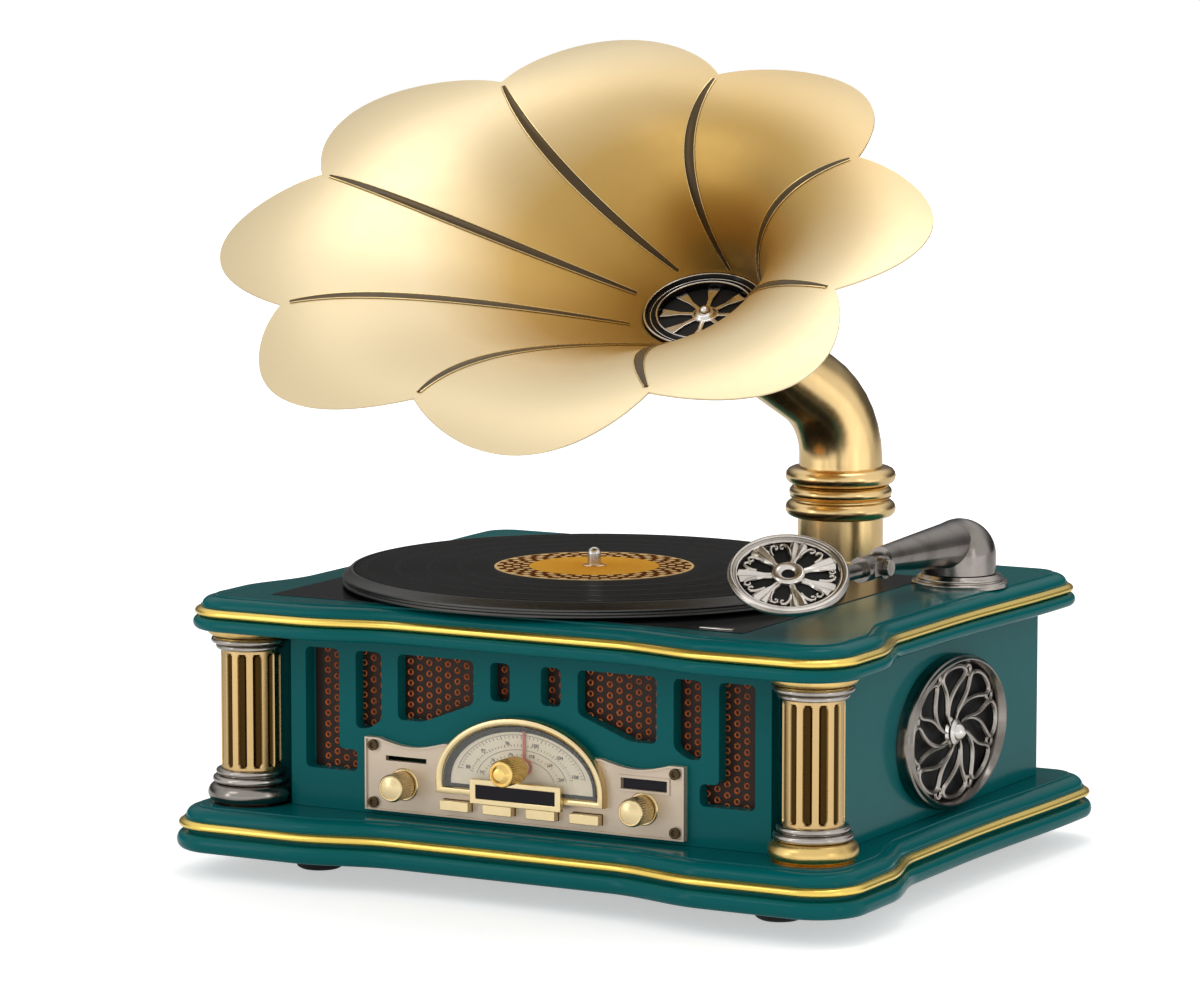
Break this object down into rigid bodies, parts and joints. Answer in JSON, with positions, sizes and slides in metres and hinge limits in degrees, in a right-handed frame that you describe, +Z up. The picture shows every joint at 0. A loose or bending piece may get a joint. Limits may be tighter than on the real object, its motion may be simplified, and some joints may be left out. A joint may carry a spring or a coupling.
{
  "type": "horn gramophone with radio",
  "caption": "Tabletop horn gramophone with a moulded teal cabinet, columns, a radio panel, a turntable, a swinging tonearm and a petalled flower horn.",
  "frame": {"origin": "on the surface that the feet stand on, below the middle of the whole outline with the horn", "axes": "+X to the right as seen from the front, +Y to the back, +Z up along the record spindle"},
  "size_m": [0.3936, 0.379, 0.4229],
  "materials": {
    "teal_lacquer": "gloss",
    "gilt": "satin metallic",
    "antique_bronze": "satin metallic",
    "pewter": "burnished",
    "bright_steel": "polished",
    "polished_brass": "polished",
    "champagne_sheet": "satin metallic",
    "champagne_plate": "satin metallic",
    "black_gloss": "gloss",
    "black_plastic": "matt",
    "rubber_black": "matt",
    "label_paper": "printed",
    "dial_card": "printed",
    "clear_window": "clear",
    "motor_steel": "brushed",
    "circuit_board": "satin"
  },
  "bodies": {
    "cabinet": {"base_board": "teal_lacquer", "bottom_panel": "teal_lacquer", "base_gilt_bead": "gilt", "rubber_feet": "rubber_black", "front_panel": "teal_lacquer", "left_side_panel": "teal_lacquer", "right_side_panel": "teal_lacquer", "rear_panel": "teal_lacquer", "top_board": "teal_lacquer", "deck_board": "teal_lacquer", "top_gilt_bead": "gilt", "grille_mesh": "black_plastic", "column_shafts": "antique_bronze", "column_capitals": "gilt", "column_bases": "gilt", "left_rosette": "pewter", "right_rosette": "pewter", "side_speakers": "black_plastic", "deck_plate": "black_gloss", "motor": "motor_steel", "bearing_bush": "polished_brass", "drive_belt": "rubber_black", "tonearm_flange": "pewter", "horn_socket": "polished_brass", "horn_post": "polished_brass", "horn_collar": "polished_brass", "radio_plate": "champagne_plate", "dial_bezel": "champagne_plate", "dial_face": "dial_card", "dial_glass": "clear_window", "display_frame": "champagne_plate", "display_window": "black_plastic", "panel_screws": "antique_bronze", "circuit_boards": "circuit_board", "power_inlet": "black_plastic"},
    "turntable": {"platter": "black_gloss", "spindle": "bright_steel", "record": "black_gloss", "record_label": "label_paper"},
    "pulley": {"motor_pulley": "polished_brass"},
    "tonearm": {"tonearm_tube": "pewter"},
    "soundbox": {"soundbox_neck": "pewter", "neck_screw": "pewter", "soundbox_housing": "pewter", "soundbox_rosette": "bright_steel", "stylus": "bright_steel"},
    "horn": {"horn_elbow": "polished_brass", "horn_bell": "champagne_sheet", "horn_seams": "champagne_sheet", "throat_ring": "pewter", "throat_grille": "bright_steel", "horn_driver": "black_plastic"},
    "tuner": {"tuning_knob": "gilt", "dial_pointer": "dial_card"},
    "function_switch": {"function_knob": "champagne_plate"},
    "volume_control": {"volume_knob": "champagne_plate"},
    "button_1": {"push_button_1": "champagne_plate"},
    "button_2": {"push_button_2": "champagne_plate"},
    "button_3": {"push_button_3": "champagne_plate"},
    "button_4": {"push_button_4": "champagne_plate"}
  },
  "joints": [
    {"name": "platter_spin", "type": "hinge", "parent": "cabinet", "child": "turntable", "pos_m": [-0.0205, 0.006, 0.15], "axis": [0, 0, 1], "continuous": true},
    {"name": "pulley_spin", "type": "hinge", "parent": "cabinet", "child": "pulley", "pos_m": [-0.10025, -0.03119, 0.148], "axis": [0, 0, 1], "continuous": true},
    {"name": "tonearm_swing", "type": "hinge", "parent": "cabinet", "child": "tonearm", "pos_m": [0.1476, 0.095, 0.152], "axis": [0, 0, 1], "range_deg": [-42, 6]},
    {"name": "soundbox_lift", "type": "hinge", "parent": "tonearm", "child": "soundbox", "pos_m": [0.14471, -0.00196, 0.1665], "axis": [-0.9996, 0.0298, 0], "range_deg": [0, 55]},
    {"name": "horn_swivel", "type": "hinge", "parent": "cabinet", "child": "horn", "pos_m": [0.0555, 0.142, 0.187], "axis": [0, 0, 1], "range_deg": [-40, 40]},
    {"name": "tuning_turn", "type": "hinge", "parent": "cabinet", "child": "tuner", "pos_m": [0.002, -0.1265, 0.0685], "axis": [0, -1, 0], "range_deg": [-75, 75]},
    {"name": "function_turn", "type": "hinge", "parent": "cabinet", "child": "function_switch", "pos_m": [-0.069, -0.1145, 0.053], "axis": [0, -1, 0], "range_deg": [-135, 135]},
    {"name": "volume_turn", "type": "hinge", "parent": "cabinet", "child": "volume_control", "pos_m": [0.069, -0.1145, 0.053], "axis": [0, -1, 0], "range_deg": [-135, 135]},
    {"name": "button_1_press", "type": "slide", "parent": "cabinet", "child": "button_1", "axis": [0, 1, 0], "range_m": [0, 0.0016], "stiffness_N_per_m": 250},
    {"name": "button_2_press", "type": "slide", "parent": "cabinet", "child": "button_2", "axis": [0, 1, 0], "range_m": [0, 0.0016], "stiffness_N_per_m": 250},
    {"name": "button_3_press", "type": "slide", "parent": "cabinet", "child": "button_3", "axis": [0, 1, 0], "range_m": [0, 0.0016], "stiffness_N_per_m": 250},
    {"name": "button_4_press", "type": "slide", "parent": "cabinet", "child": "button_4", "axis": [0, 1, 0], "range_m": [0, 0.0016], "stiffness_N_per_m": 250}
  ],
  "couplings": [
    {"joint": "pulley_spin", "follows": "platter_spin", "ratio": 9.1667}
  ]
}
